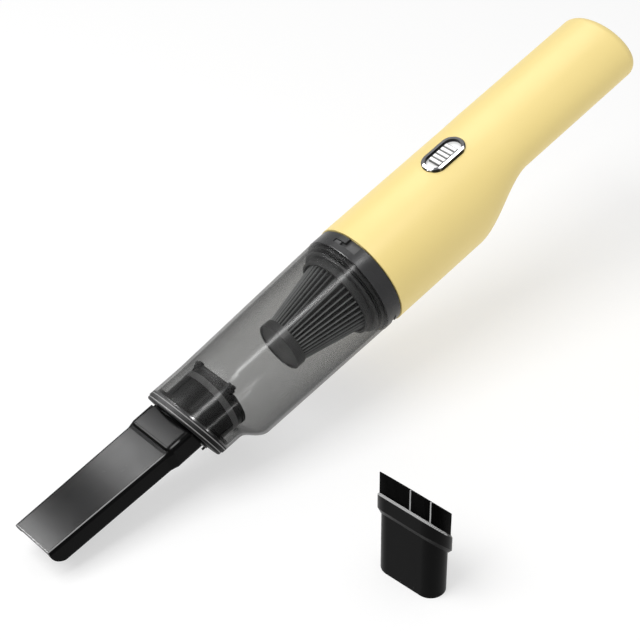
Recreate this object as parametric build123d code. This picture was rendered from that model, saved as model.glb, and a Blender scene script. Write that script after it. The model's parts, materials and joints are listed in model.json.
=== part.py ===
from build123d import *
import math
import os

# Handheld vacuum cleaner with a clear bin, a crevice nozzle and a loose brush nozzle.
# The tool is drawn straight, in its own frame: X runs along its axis towards the handle,
# with x = 0 at the front edge of the bin's collar, Z points to the switch side and the
# axis of the motor barrel is y = z = 0. place() then tips it nose down, as it is held.
# The origin of the finished part is the centre of the hand grip. All sizes are in mm.

os.makedirs("parts", exist_ok=True)

# Held pose
pitch = 16.0
nozzle_hover = 10.0

# Motor barrel, S-bend and handle of the one-piece housing
body_radius = 31.9
body_wall = 2.2
bend_start = 78.3
bend_end = 124.3
handle_half_width = 26.7
handle_half_height = 19.0
handle_round = 6.0
tail_rim = 8.0
handle_z = body_radius - handle_half_height
grip_x = 172.0

# Collar of the bin and the twist lock under it
collar_length = 10.5
collar_step = 0.5
collar_wall = 1.7
collar_seam = 0.4
twist_gap = 0.4
lug_count = 3
lug_rise = 1.6
lug_length = 1.9
lug_angle = 8.2
lug_play = 0.3
slot_front = 4.1
slot_blind_angle = 12.0
slot_entry_angle = 16.5
twist_angle = 14.0
slot_blind_end = 3.0
slot_entry_start = 2.0
edge_break = 0.4
bond_gap = 0.02

# Cutters run past a face by this much, and joined features reach into each other by this much
past = 1.0
weld = 0.5

# Chassis that closes the barrel and carries the filter and the fan
chassis_nose = 2.0
chassis_wall = 2.4
chassis_rear = 34.6
chassis_fit = 0.2
bulkhead_x = 13.5
bulkhead_thickness = 3.0
bulkhead_hole = 15.0
guard_margin = 4.9
guard_thickness = 1.6
guard_bar = 1.8
guard_bars = 9
guard_hub = 4.0
guard_step = 1.0

# Fan and motor
shroud_fit = 0.4
shroud_wall = 1.6
fan_clearance = 1.3
fan_front = 19.4
fan_blade_height = 12.0
fan_disc = 1.8
fan_hub = 6.0
fan_blades = 9
fan_blade_thickness = 1.2
fan_sweep = 3.4
fan_sweep_place = 0.42
fan_tip_inset = 0.4
shaft_radius = 1.585
shaft_play = 0.06
shaft_seat = 5.0
mount_thickness = 4.0
mount_windows = 8
mount_window_size = 5.0
mount_window_inset = 8.0
motor_radius = 17.9
motor_length = 38.0
motor_bell_length = 6.0
motor_bell_step = 1.0
motor_boss_radius = 4.5
motor_boss_height = 1.5
motor_edge = 1.5
motor_terminal = 3.0
motor_terminal_inner = 9.0
motor_terminal_thickness = 0.8
motor_terminal_width = 3.0
motor_screw_ring = 12.5
motor_screw_radius = 1.5
motor_screw_head = 2.8
motor_screw_length = 4.0
motor_screw_sink = 1.9
motor_screw_recess = 0.2
air_gap = 0.3

# Switch on the top line
switch_x = 86.0
bezel_half_length = 14.75
bezel_half_width = 7.75
bezel_border = 2.1
bezel_rise = 1.3
bezel_skirt = 1.0
bezel_depth = 4.2
bezel_break = 0.5
bezel_step = 0.6
bezel_flange = 2.0
bed_drop = 0.9
bed_thickness = 1.4
bed_fit = 0.15
slider_half_length = 7.75
slider_half_width = 4.6
slider_thickness = 1.0
slider_travel = 2.0
slider_stem = 3.0
stem_play = 0.3
slider_corner = 1.0
rib_margin = 0.5
rib_inset = 0.3
rib_break = 0.25
rib_count = 5
rib_width = 2.0
rib_height = 0.7
board_thickness = 1.6
board_drop = 8.8
board_front = 63.5
board_rear = 112.0
board_half_width = 11.0
board_boss = 2.8
board_boss_inset = 5.0
board_screw_radius = 1.0
board_screw_length = 5.0
board_screw_head = 2.2
board_screw_head_height = 1.6
board_corner = 1.5
rocker_length = 12.0
rocker_width = 6.4
rocker_height = 3.2

# Batteries in the handle
cell_radius = 9.2
cell_length = 65.0
cell_gap = 0.8
cell_front = 134.7
cell_tail_gap = 0.7
cell_edge = 0.8
cell_cap_radius = 3.2
cell_cap_height = 1.0
cradle_plate = 3.5
cradle_fit = 0.3
cradle_spine_width = 6.0
cradle_spine_height = 3.4

# Tail plate with the charging socket
tail_thickness = 3.1
tail_recess = 0.4
tail_fit = 0.15
socket_width = 8.9
socket_height = 3.2
socket_length = 7.4
socket_fit = 0.2
socket_wall = 0.35
tongue_half_width = 3.2
tongue_thickness = 0.7
tongue_front = 1.5
charge_board_length = 11.0
charge_board_width = 18.0
charge_board_thickness = 1.2
shelf_thickness = 1.4
lamp_radius = 1.2
lamp_y = 10.0

# Exhaust slots under the barrel
vent_count = 9
vent_length = 20.0
vent_width = 2.2
vent_pitch_deg = 9.0
vent_x = 58.0

# Clear bin
bin_step = 0.2
bin_wall = 1.5
shoulder_start = 89.0
shoulder_end = 106.0
waist_taper = 2.05
waist_z = -2.2
nose_half_width = 26.6
nose_half_height = 21.2
nose_z = 4.2
lip_x = -124.0
lip_slant = 15.0
lip_thickness = 5.2
lip_step = 2.4
lip_inset = 0.5
lip_round = 1.1
lip_spigot = 3.0
spigot_fit = 0.2
tab_width = 9.0
tab_length = 6.0
tab_thickness = 2.0
tab_back = 4.0
nose_run = 20.0
slab_width = 120.0

# Inlet duct in the nose of the bin
duct_radius = 19.2
duct_wall = 1.6
duct_rear = -98.6
duct_rib_count = 6
duct_rib_width = 0.9
duct_rib_height = 0.5
duct_rib_start = 40.0
duct_rib_inset = 2.0
duct_seat = 0.6
duct_seat_length = 2.0
band_rear = -101.6
band_length = 3.6
band_height = 0.35

# Flap over the inner end of the duct
flap_thickness = 1.8
flap_overlap = 0.6
flap_gap = 0.3
flap_pin_x = -95.7
flap_pin_z = 17.4
flap_pin_radius = 1.0
flap_barrel_radius = 1.6
flap_half_width = 10.4
flap_top_drop = 2.2
ear_gap = 0.4
ear_thickness = 1.5
ear_drop = 1.4
ear_rise = 0.6
ear_margin = 0.3
knob_arm = 2.3
knob_bar = 1.8
knob_length = 2.2
knob_gap = 0.3

# Pleated filter
filter_rim_x = -4.4
filter_rim_gap = 1.6
filter_rim_bead = 1.2
filter_fit = 0.3
filter_spigot = 9.0
filter_wall = 1.8
filter_ring_step = 3.1
filter_ring_front = -10.0
filter_ring_wall = 1.4
gutter_width = 1.7
gutter_depth = 0.2
pleat_count = 40
pleat_step = 0.4
pleat_front_radius = 13.2
pleat_depth = 2.8
pleat_front_depth = 1.8
pleat_core_wall = 1.0
pleat_gap = 0.1
cap_face_x = -53.6
cap_radius = 15.1
cap_length = 5.6
cap_thickness = 1.8
cap_dish = 0.5
cap_wall = 0.9
cap_border = 1.3
cap_edge = 0.3
gasket_thickness = 1.0
gasket_width = 1.8

# Crevice nozzle
plug_fit = 0.3
plug_length = 18.0
plug_lip = 1.2
plug_bore = 14.4
block_width = 33.4
block_height = 17.2
block_corner = 3.4
block_round = 2.8
block_front = -144.3
block_neck = 1.6
neck_inset = 1.2
blade_root = -143.0
blade_root_width = 32.4
blade_tip_width = 29.8
blade_height = 13.2
blade_tip_height = 13.8
blade_z = 8.2
blade_tip_z = 10.0
flare = 1.1
flare_length = 4.0
flare_sink = 0.5
blade_corner = 2.0
blade_wall = 1.8
bore_corner = 1.2
bore_side = 0.6
bore_reach = 4.0
tip_top_x = -224.5
tip_bottom_x = -213.5
tip_bulge = 2.6
tip_land = 1.5
mouth_overlap = 8.0
nozzle_travel = 20.0

# Loose brush nozzle, standing on its stem
brush_x = -82.0
brush_y = -136.6
brush_turn = 5.5
stem_length = 38.8
stem_radius = 8.2
stem_wall = 1.4
mouth_height = 44.9
mouth_slope = 1.2
band_proud = 2.0
brush_band_height = 13.6
brush_band_chamfer = 2.0
rim_chamfer = 1.2
strand_length = 14.0
strand_size = 0.45
strand_rows = 3
strand_row_pitch = 0.6
strand_pitch = 0.72
rim_inset = 0.85
backing_depth = 2.0
backing_width = 1.8
backing_fit = 0.1
backing_drop = 0.5
backing_split = 0.05


def ease(t):
    """Smooth step from 0 to 1 with level ends."""
    return t * t * (3 - 2 * t)


def station(x, z=0.0):
    """Plane square to the tool's axis, whose own X and Y are the tool's Y and Z."""
    return Plane(origin=(x, 0, z), x_dir=(0, 1, 0), z_dir=(1, 0, 0))


def rod(x0, x1, radius, z=0.0):
    """Round bar along the tool's axis."""
    return extrude(station(x0, z) * Circle(radius), x1 - x0)


def pipe(x0, x1, outer, inner, z=0.0):
    """Round pipe along the tool's axis."""
    return extrude(station(x0, z) * (Circle(outer) - Circle(inner)), x1 - x0)


def oval(x0, x1, half_width, half_height, z=0.0):
    """Elliptical bar along the tool's axis."""
    return extrude(station(x0, z) * Ellipse(half_width, half_height), x1 - x0)


def block(x0, x1, y0, y1, z0, z1):
    """Rectangular block between two corners."""
    size = Box(x1 - x0, y1 - y0, z1 - z0)
    return Pos((x0 + x1) / 2, (y0 + y1) / 2, (z0 + z1) / 2) * size


def sector(x0, x1, inner, outer, start, angle):
    """Piece of a ring about the axis; angles run from the top towards -Y."""
    profile = Plane.XZ * Pos((x0 + x1) / 2, (inner + outer) / 2) * Rectangle(x1 - x0, outer - inner)
    return Rot(start, 0, 0) * revolve(profile, Axis.X, angle)


def around(count, start=0.0):
    """Turns about the tool's axis, evenly spaced."""
    return [Rot(start + 360.0 / count * i, 0, 0) for i in range(count)]


def place(solid):
    """Move a solid from the straight tool frame to the held pose, grip at the origin."""
    return Rot(0, -pitch, 0) * Pos(-grip_x, 0, -handle_z) * solid


def held_point(x, y, z):
    """The same move for a point of the tool frame."""
    turn = math.radians(pitch)
    along = x - grip_x
    up = z - handle_z
    return (
        along * math.cos(turn) - up * math.sin(turn),
        y,
        along * math.sin(turn) + up * math.cos(turn),
    )


# Places that follow from the sizes above
housing_front = collar_length + collar_seam
collar_radius = body_radius - collar_step
collar_bore = collar_radius - collar_wall
chassis_radius = collar_bore - twist_gap
chassis_bore = chassis_radius - chassis_wall
seat_radius = body_radius - body_wall - chassis_fit
guard_radius = chassis_bore - guard_margin
shroud_radius = chassis_bore - shroud_fit
fan_radius = shroud_radius - shroud_wall - fan_clearance
mount_window_ring = seat_radius - mount_window_inset
shroud_front = bulkhead_x + bulkhead_thickness + chassis_fit
fan_rear = fan_front + fan_blade_height + fan_disc
mount_front = chassis_rear + chassis_fit
motor_front = mount_front + mount_thickness
motor_rear = motor_front + motor_length
bed_top = body_radius - bed_drop
bed_bottom = bed_top - bed_thickness
slider_bottom = bed_top + bed_fit
board_top = body_radius - board_drop
board_bottom = board_top - board_thickness
rocker_top = board_top + rocker_height
cradle_rear = cell_front + cell_length + cell_cap_height + cradle_fit
tail_inner = cradle_rear + cradle_plate + cell_tail_gap + charge_board_length
tail_outer = tail_inner + tail_thickness
handle_end = tail_outer + tail_recess
bin_rear_radius = collar_radius - bin_step
waist_radius = bin_rear_radius - waist_taper
filter_rim_radius = bin_rear_radius - bin_wall - filter_rim_gap
filter_ring_radius = filter_rim_radius - filter_ring_step
pleat_rear_radius = filter_ring_radius - filter_ring_wall - pleat_step
duct_bore = duct_radius - duct_wall
flap_front = duct_rear + flap_gap
flap_rear = flap_front + flap_thickness
ear_inner = flap_half_width + ear_gap
ear_outer = ear_inner + ear_thickness
cap_rear = cap_face_x + cap_length
plug_radius = duct_bore - plug_fit
rim_middle = stem_radius + band_proud / 2 - rim_inset
stem_straight = stem_length - 2 * stem_radius
floor_z = held_point(tip_bottom_x, 0, blade_z - blade_height / 2)[2] - nozzle_hover


def housing_form(inset, front):
    """Barrel, S-bend and handle, drawn in by an inset; the top line stays level."""
    steps = 6
    sections = []
    for i in range(steps + 1):
        t = i / steps
        half_width = body_radius + (handle_half_width - body_radius) * ease(t)
        half_height = body_radius + (handle_half_height - body_radius) * ease(t)
        x = bend_start + (bend_end - bend_start) * t
        oval_face = Ellipse(half_width - inset, half_height - inset)
        sections.append(station(x, body_radius - half_height) * oval_face)
    barrel = rod(front, bend_start, body_radius - inset)
    handle = oval(
        bend_end,
        handle_end - inset,
        handle_half_width - inset,
        handle_half_height - inset,
        handle_z,
    )
    handle = fillet(handle.edges().group_by(Axis.X)[-1], handle_round - inset)
    return barrel + loft(sections) + handle


def stadium_prism(x, half_length, half_width, z0, z1):
    """Upright prism with round ends, long along X."""
    outline = SlotOverall(2 * half_length, 2 * half_width)
    return extrude(Plane(origin=(x, 0, z0)) * outline, z1 - z0)


def make_housing():
    """Yellow one-piece barrel and handle."""
    shell = housing_form(0, housing_front)
    shell = shell - housing_form(body_wall, housing_front - past)
    opening = oval(
        handle_end - body_wall - past,
        handle_end + past,
        handle_half_width - tail_rim,
        handle_half_height - tail_rim,
        handle_z,
    )
    hole = stadium_prism(
        switch_x,
        bezel_half_length - bezel_skirt,
        bezel_half_width - bezel_skirt,
        handle_z,
        body_radius + past,
    )
    slot = Plane(origin=(vent_x, 0, body_radius - 2 * body_wall)) * SlotOverall(vent_length, vent_width)
    slot = extrude(slot, 3 * body_wall)
    first = 180.0 - vent_pitch_deg * (vent_count - 1) / 2
    vents = [Rot(first + vent_pitch_deg * i, 0, 0) * slot for i in range(vent_count)]
    shell = shell - opening - hole - vents
    post = extrude(Plane(origin=(0, 0, board_top)) * Circle(board_boss), body_radius - board_top - past)
    pilot = extrude(Plane(origin=(0, 0, board_top)) * Circle(board_screw_radius), board_screw_length)
    for x in board_posts():
        shell = shell + Pos(x, 0, 0) * post - Pos(x, 0, 0) * pilot
    return shell


def board_posts():
    """Where the control board is screwed up to the housing."""
    return [board_front + board_boss_inset, board_rear - board_boss_inset]


def make_chassis():
    """Dark neck with three lock lugs, filter seat and bulkhead."""
    neck = pipe(-chassis_nose, housing_front, chassis_radius, chassis_bore)
    rear = pipe(housing_front + chassis_fit, chassis_rear, seat_radius, chassis_bore)
    web = pipe(housing_front, bulkhead_x + weld, chassis_radius, chassis_bore)
    bulkhead = pipe(bulkhead_x, bulkhead_x + bulkhead_thickness, chassis_radius, bulkhead_hole)
    body = neck + rear + web + bulkhead
    lug_start = -slot_blind_angle + lug_play * 2
    lug_x = slot_front + lug_play
    lug = sector(
        lug_x,
        lug_x + lug_length,
        chassis_radius - weld,
        chassis_radius + lug_rise,
        lug_start,
        lug_angle,
    )
    return body + [turn * lug for turn in around(lug_count)]


def make_fan_guard():
    """Spoked grille in front of the fan, seated on the bulkhead."""
    front = bulkhead_x - guard_thickness
    rim = pipe(front, bulkhead_x, guard_radius, bulkhead_hole + guard_step)
    hub = rod(front, bulkhead_x, guard_hub)
    bar = block(front, bulkhead_x, -guard_bar / 2, guard_bar / 2, 0, bulkhead_hole + guard_step + weld)
    return rim + hub + [turn * bar for turn in around(guard_bars)]


def make_fan_shroud():
    """Cup round the fan that turns the air towards the motor."""
    wall = pipe(shroud_front, chassis_rear, shroud_radius, shroud_radius - shroud_wall)
    lip = pipe(shroud_front, shroud_front + shroud_wall, shroud_radius, bulkhead_hole)
    return wall + lip


def make_impeller():
    """Centrifugal fan with swept blades on a back disc."""
    disc = rod(fan_rear - fan_disc, fan_rear, fan_radius)
    hub = rod(fan_front + past, fan_rear, fan_hub)
    start = fan_hub - 2 * weld
    end = fan_radius - fan_tip_inset
    middle = start + (end - start) * fan_sweep_place
    arc = ThreePointArc((0, start), (fan_sweep, middle), (fan_tip_inset, end))
    swept = make_face(offset(arc, fan_blade_thickness / 2, side=Side.BOTH))
    blade = extrude(station(fan_front) * swept, fan_blade_height + weld)
    fan = disc + hub + [turn * blade for turn in around(fan_blades)]
    return fan - rod(fan_front, fan_rear + past, shaft_radius)


def make_motor_shaft():
    return rod(fan_front - past, motor_front + shaft_seat - air_gap, shaft_radius)


def motor_screw_turns():
    """The two motor screws stand on opposite sides of the shaft."""
    return around(2, start=90.0)


def make_motor_mount():
    """Plate that holds the motor and lets the fan's air through."""
    plate = rod(mount_front, motor_front, seat_radius)
    plate = plate - rod(mount_front - past, motor_front + past, shaft_seat)
    window = Pos(0, 0, mount_window_ring) * Rot(0, 90, 0) * Cylinder(mount_window_size / 2, 4 * mount_thickness)
    window = Pos(mount_front, 0, 0) * window
    plate = plate - [turn * window for turn in around(mount_windows)]
    screw = rod(mount_front - past, motor_front + past, motor_screw_radius + shaft_play, motor_screw_ring)
    head_rear = mount_front + motor_screw_sink
    head = rod(mount_front - past, head_rear, motor_screw_head + air_gap, motor_screw_ring)
    return plate - [turn * (screw + head) for turn in motor_screw_turns()]


def make_motor_screws():
    """Two machine screws, heads sunk in the mount."""
    head_rear = mount_front + motor_screw_sink
    head = rod(mount_front + motor_screw_recess, head_rear, motor_screw_head, motor_screw_ring)
    shank = rod(head_rear, motor_front + motor_screw_length, motor_screw_radius, motor_screw_ring)
    return Compound([turn * (head + shank) for turn in motor_screw_turns()])


def make_motor_can():
    """Steel can of the motor with its rolled front edge and bearing boss."""
    can = rod(motor_front, motor_rear, motor_radius)
    can = fillet(can.edges().group_by(Axis.X)[0], motor_edge)
    can = can - rod(motor_front - past, motor_front + shaft_seat, shaft_radius + shaft_play)
    hole_end = motor_front + motor_screw_length + past
    hole = rod(motor_front - past, hole_end, motor_screw_radius, motor_screw_ring)
    return can - [turn * hole for turn in motor_screw_turns()]


def make_motor_bell():
    """Plastic rear end of the motor with its two terminals."""
    bell = rod(motor_rear, motor_rear + motor_bell_length, motor_radius - motor_bell_step)
    bell = fillet(bell.edges().group_by(Axis.X)[-1], motor_bell_step)
    end = motor_rear + motor_bell_length
    boss = rod(end, end + motor_boss_height, motor_boss_radius)
    outer = motor_terminal_inner + motor_terminal_thickness
    half = motor_terminal_width / 2
    terminal = block(end - past, end + motor_terminal, motor_terminal_inner, outer, -half, half)
    return bell + boss + [turn * terminal for turn in around(2)]


def make_switch_bezel():
    """Chrome oval frame on the top line, hugging the round barrel."""
    top = body_radius + bezel_rise
    ring = stadium_prism(switch_x, bezel_half_length, bezel_half_width, body_radius - bezel_flange, top)
    ring = chamfer(ring.edges().group_by(Axis.Z)[-1], bezel_break)
    inner_length = bezel_half_length - bezel_border
    inner_width = bezel_half_width - bezel_border
    flange = ring - housing_form(-bond_gap, housing_front)
    skirt = stadium_prism(
        switch_x,
        bezel_half_length - bezel_skirt - chassis_fit,
        bezel_half_width - bezel_skirt - chassis_fit,
        body_radius - bezel_depth,
        top - bezel_step,
    )
    hole = stadium_prism(switch_x, inner_length, inner_width, body_radius - 2 * bezel_depth, top + past)
    return flange + skirt - hole


def make_switch_bed():
    """Pale tray inside the bezel; its rounded ends show beyond the slider."""
    inset = bezel_border + bed_fit
    half_length = bezel_half_length - inset
    half_width = bezel_half_width - inset
    tray = stadium_prism(switch_x, half_length, half_width, bed_bottom, bed_top)
    reach = slider_stem / 2 + slider_travel + stem_play
    slot_half = slider_stem / 2 + stem_play
    slot = block(
        switch_x - reach,
        switch_x + reach,
        -slot_half,
        slot_half,
        bed_bottom - past,
        bed_top + past,
    )
    return tray - fillet(slot.edges().filter_by(Axis.Z), stem_play)


def make_switch_slider():
    """Dark thumb slider with its stem through the tray."""
    plate = extrude(
        Plane(origin=(switch_x, 0, slider_bottom))
        * RectangleRounded(2 * slider_half_length, 2 * slider_half_width, slider_corner),
        slider_thickness,
    )
    half = slider_stem / 2
    stem_bottom = rocker_top + air_gap
    stem = block(switch_x - half, switch_x + half, -half, half, stem_bottom, slider_bottom + weld)
    return plate + stem


def make_slider_ribs():
    """White grip bars moulded on the slider."""
    pitch_x = (2 * slider_half_length - rib_width - 2 * rib_margin) / (rib_count - 1)
    half_width = slider_half_width - rib_inset
    bars = []
    for i in range(rib_count):
        x = switch_x + pitch_x * (i - (rib_count - 1) / 2)
        base = slider_bottom + slider_thickness
        bar = block(x - rib_width / 2, x + rib_width / 2, -half_width, half_width, base, base + rib_height)
        bars.append(chamfer(bar.edges().group_by(Axis.Z)[-1], rib_break))
    return Compound(bars)


def make_slide_switch():
    """Electrical slide switch on the control board."""
    half_length = rocker_length / 2
    half_width = rocker_width / 2
    can = block(
        switch_x - half_length,
        switch_x + half_length,
        -half_width,
        half_width,
        board_top,
        rocker_top,
    )
    return chamfer(can.edges().group_by(Axis.Z)[-1], edge_break)


def make_control_board():
    board = block(board_front, board_rear, -board_half_width, board_half_width, board_bottom, board_top)
    board = fillet(board.edges().filter_by(Axis.Z), board_corner)
    hole = extrude(
        Plane(origin=(0, 0, board_bottom - past)) * Circle(board_screw_radius + air_gap),
        board_thickness + 2 * past,
    )
    return board - [Pos(x, 0, 0) * hole for x in board_posts()]


def make_board_screws():
    """Two screws from below the board into the housing posts."""
    under = Plane(origin=(0, 0, board_bottom - board_screw_head_height))
    head = extrude(under * Circle(board_screw_head), board_screw_head_height)
    reach = board_screw_head_height + board_thickness + board_screw_length - past
    shank = extrude(under * Circle(board_screw_radius), reach)
    return Compound([Pos(x, 0, 0) * (head + shank) for x in board_posts()])


def cell_offset():
    return cell_radius + cell_gap / 2


def make_cell(side):
    """Battery cell with its raised positive end; side is 1 for +Y and -1 for -Y."""
    body = rod(cell_front, cell_front + cell_length, cell_radius, handle_z)
    body = fillet(body.edges(), cell_edge)
    rear = cell_front + cell_length
    cap = rod(rear - past, rear + cell_cap_height, cell_cap_radius, handle_z)
    return Pos(0, side * cell_offset(), 0) * (body + cap)


def make_battery_cradle():
    """Two end plates joined by spines that lie in the valleys between the cells."""
    inset = body_wall + cradle_fit
    half_width = handle_half_width - inset
    half_height = handle_half_height - inset
    front = cell_front - cradle_fit
    plates = oval(front - cradle_plate, front, half_width, half_height, handle_z)
    plates = plates + oval(cradle_rear, cradle_rear + cradle_plate, half_width, half_height, handle_z)
    low = cell_radius - cradle_spine_height / 2
    half = cradle_spine_width / 2
    spines = []
    for side in (1, -1):
        z0 = handle_z + side * low
        z1 = handle_z + side * (low + cradle_spine_height)
        spines.append(block(front - weld, cradle_rear + weld, -half, half, min(z0, z1), max(z0, z1)))
    return plates + spines


def make_tail_plate():
    """Dark plate in the end of the handle, with the charging opening and a shelf."""
    plate = oval(
        tail_inner,
        tail_outer,
        handle_half_width - tail_rim - tail_fit,
        handle_half_height - tail_rim - tail_fit,
        handle_z,
    )
    shelf_top = handle_z - socket_height / 2 - charge_board_thickness
    half = charge_board_width / 2
    shelf = block(
        tail_inner - charge_board_length,
        tail_inner + weld,
        -half,
        half,
        shelf_top - shelf_thickness,
        shelf_top,
    )
    opening = RectangleRounded(
        socket_width + 2 * socket_fit,
        socket_height + 2 * socket_fit,
        socket_height / 2,
    )
    opening = extrude(station(tail_inner - past, handle_z) * opening, tail_thickness + 2 * past)
    lamp = Pos(0, lamp_y, 0) * rod(tail_inner - past, tail_outer + past, lamp_radius, handle_z)
    return plate + shelf - opening - lamp


def make_charge_socket():
    """Metal shell of the charging socket with its contact tongue."""
    outer = SlotOverall(socket_width, socket_height)
    inner = SlotOverall(socket_width - 2 * socket_wall, socket_height - 2 * socket_wall)
    start = tail_outer - socket_length
    shell = extrude(station(start, handle_z) * outer, socket_length)
    shell = shell - extrude(station(start + past, handle_z) * inner, socket_length)
    tongue = block(
        start + weld,
        tail_outer - tongue_front,
        -tongue_half_width,
        tongue_half_width,
        handle_z - tongue_thickness / 2,
        handle_z + tongue_thickness / 2,
    )
    return shell + tongue


def make_charge_board():
    half = charge_board_width / 2
    top = handle_z - socket_height / 2
    return block(
        tail_inner - charge_board_length,
        tail_inner,
        -half,
        half,
        top - charge_board_thickness,
        top,
    )


def make_charge_lamp():
    """Clear light pipe beside the socket."""
    return Pos(0, lamp_y, 0) * rod(tail_inner, tail_outer, lamp_radius, handle_z)


def bin_form(inset, rear):
    """Clear bin: tapered barrel, then a belly that steps up to a smaller oval nose."""
    steps = 5
    sections = []
    for i in range(steps + 1):
        s = ease(i / steps)
        half_width = waist_radius + (nose_half_width - waist_radius) * s
        half_height = waist_radius + (nose_half_height - waist_radius) * s
        x = -shoulder_start - (shoulder_end - shoulder_start) * i / steps
        z = waist_z + (nose_z - waist_z) * s
        sections.append(station(x, z) * Ellipse(half_width - inset, half_height - inset))
    barrel = loft(
        [
            station(rear) * Circle(bin_rear_radius - inset),
            station(-shoulder_start, waist_z) * Circle(waist_radius - inset),
        ]
    )
    nose = oval(
        lip_x - nose_run,
        -shoulder_end,
        nose_half_width - inset,
        nose_half_height - inset,
        nose_z,
    )
    return barrel + loft(sections) + nose


def lip_slab(depth0, depth1):
    """Slab parallel to the slanted front lip, between two depths behind it."""
    slab = Pos((depth0 + depth1) / 2, 0, 0) * Box(depth1 - depth0, slab_width, slab_width)
    return Pos(lip_x, 0, nose_z) * Rot(0, -lip_slant, 0) * slab


def make_bin_shell():
    """Clear smoke shell, open at the collar and at the nose."""
    shell = bin_form(0, 0) - bin_form(bin_wall, 0)
    return shell - lip_slab(-slab_width, lip_thickness)


def make_bin_collar():
    """Gray collar with the L-shaped lock slots."""
    ring = pipe(0, collar_length, collar_radius, collar_bore)
    ring = chamfer(ring.edges().filter_by(GeomType.CIRCLE).sort_by(SortBy.RADIUS)[-2:], edge_break)
    blind = sector(
        slot_front,
        slot_front + lug_length + 2 * lug_play,
        collar_bore - past,
        collar_radius + past,
        -slot_blind_angle,
        slot_blind_angle + slot_blind_end,
    )
    entry = sector(
        slot_front,
        collar_length + past,
        collar_bore - past,
        collar_radius + past,
        slot_entry_start,
        slot_entry_angle,
    )
    return ring - [turn * (blind + entry) for turn in around(lug_count)]


def make_inlet_duct():
    """Black round duct with axial ribs, the slanted front plate and the flap's ears."""
    tube = rod(lip_x - nose_run, duct_rear, duct_radius, nose_z)
    plate = oval(lip_x - nose_run, -shoulder_end, nose_half_width, nose_half_height, nose_z)
    front = oval(
        lip_x - nose_run,
        -shoulder_end,
        nose_half_width - lip_inset,
        nose_half_height - lip_inset,
        nose_z,
    )
    front = front & lip_slab(0, lip_thickness)
    front = fillet(front.edges().group_by(Axis.X)[0], lip_round)
    spigot = oval(
        lip_x - nose_run,
        -shoulder_end,
        nose_half_width - bin_wall - spigot_fit,
        nose_half_height - bin_wall - spigot_fit,
        nose_z,
    )
    rib = block(
        lip_x + duct_rib_inset,
        band_rear - band_length,
        -duct_rib_width / 2,
        duct_rib_width / 2,
        duct_radius - weld,
        duct_radius + duct_rib_height,
    )
    ribs = [Pos(0, 0, nose_z) * turn * rib for turn in around(duct_rib_count, duct_rib_start)]
    ribs = [piece & bin_form(bin_wall + spigot_fit, 0) for piece in ribs]
    body = tube - lip_slab(-slab_width, 0)
    body = body + front + (plate & lip_slab(lip_step, lip_thickness))
    body = body + (spigot & lip_slab(lip_step, lip_thickness + lip_spigot))
    body = body + ribs
    ear = block(
        duct_rear - duct_seat_length,
        flap_pin_x + flap_barrel_radius + ear_margin,
        ear_inner,
        ear_outer,
        flap_pin_z - ear_drop,
        flap_pin_z + flap_barrel_radius + ear_rise,
    )
    pin_hole = Rot(90, 0, 0) * Cylinder(flap_pin_radius + shaft_play, 3 * duct_radius)
    pin_hole = Pos(flap_pin_x, 0, flap_pin_z) * pin_hole
    ears = ear + mirror(ear, Plane.XZ) - pin_hole
    bore = rod(lip_x - 2 * nose_run, duct_rear - duct_seat_length, duct_bore, nose_z)
    seat_bore = rod(duct_rear - 2 * duct_seat_length, duct_rear + past, duct_bore - duct_seat, nose_z)
    return body + ears - bore - seat_bore


def make_duct_band():
    """Pale ring round the duct near its inner end."""
    return pipe(band_rear - band_length, band_rear, duct_radius + band_height, duct_radius, nose_z)


def make_inlet_flap():
    """Flap that hangs on two trunnions and ends in plus-shaped knobs."""
    disc = rod(flap_front, flap_rear, duct_radius + flap_overlap, nose_z)
    top = flap_pin_z - flap_top_drop
    reach = 2 * duct_radius
    disc = disc - block(flap_front - past, flap_rear + past, -reach, reach, top, reach)
    tab = block(flap_front, flap_rear, -flap_half_width, flap_half_width, top - weld, flap_pin_z)
    barrel = Rot(90, 0, 0) * Cylinder(flap_barrel_radius, 2 * flap_half_width)
    knob_start = ear_outer + knob_gap
    trunnion = Rot(90, 0, 0) * Cylinder(flap_pin_radius, 2 * (knob_start + weld))
    knob = block(-knob_arm, knob_arm, knob_start, knob_start + knob_length, -knob_bar / 2, knob_bar / 2)
    knob = knob + block(
        -knob_bar / 2,
        knob_bar / 2,
        knob_start,
        knob_start + knob_length,
        -knob_arm,
        knob_arm,
    )
    hinge = barrel + trunnion + knob + mirror(knob, Plane.XZ)
    return disc + tab + Pos(flap_pin_x, 0, flap_pin_z) * hinge


def make_shoulder_tab():
    """Small dark finger tab under the step of the bin."""
    x = -shoulder_end + tab_back
    base = block(x, x + tab_length, -tab_width / 2, tab_width / 2, -2 * body_radius, waist_z)
    skin = bin_form(-tab_thickness, 0) - bin_form(-bond_gap, 0)
    return base & skin


def make_filter_flange():
    """Dish flange, seat spigot and ring that hold the pleats."""
    spigot_radius = chassis_bore - filter_fit
    front = filter_rim_x - filter_rim_bead
    back = filter_rim_x + filter_rim_bead
    spigot = pipe(back - weld, back + filter_spigot, spigot_radius, spigot_radius - filter_wall)
    dish = pipe(front, back, filter_rim_radius, filter_ring_radius - filter_ring_wall)
    rims = dish.edges().filter_by(GeomType.CIRCLE).sort_by(SortBy.RADIUS)[-2:]
    dish = fillet(rims, filter_rim_bead - bond_gap)
    gutter = pipe(front - past, front + gutter_depth, filter_ring_radius + gutter_width, filter_ring_radius)
    ring = pipe(filter_ring_front, front + weld, filter_ring_radius, filter_ring_radius - filter_ring_wall)
    seat_bore = pleat_rear_radius - pleat_depth - pleat_core_wall
    seat = pipe(front, back, filter_ring_radius - filter_ring_wall / 2, seat_bore)
    return spigot + dish - gutter + ring + seat


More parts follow.
